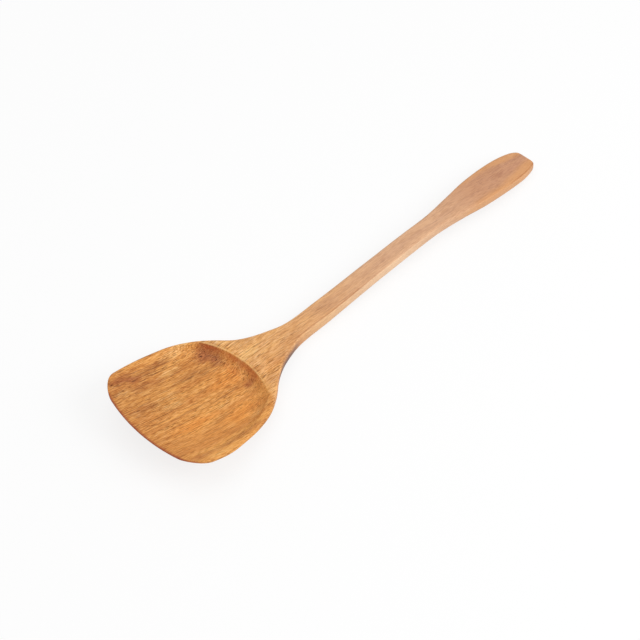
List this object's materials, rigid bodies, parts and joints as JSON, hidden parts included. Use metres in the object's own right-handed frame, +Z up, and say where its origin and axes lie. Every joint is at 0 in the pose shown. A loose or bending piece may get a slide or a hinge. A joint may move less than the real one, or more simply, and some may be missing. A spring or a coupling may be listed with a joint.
{
  "type": "wooden turner",
  "caption": "Wooden cooking turner carved from one board: a shallow scooped blade with a thin bowed front edge, a raised deck, a neck and a long handle that swells near its end.",
  "frame": {"origin": "on the surface that the turner lies on, below the middle of its length and width", "axes": "+X from the blade towards the handle's end, +Y across the blade, +Z up, out of the scooped face"},
  "size_m": [0.36, 0.0932, 0.0246],
  "materials": {
    "oiled_wood": "satin, oiled"
  },
  "bodies": {
    "root": {"turner_body": "oiled_wood"}
  },
  "joints": []
}
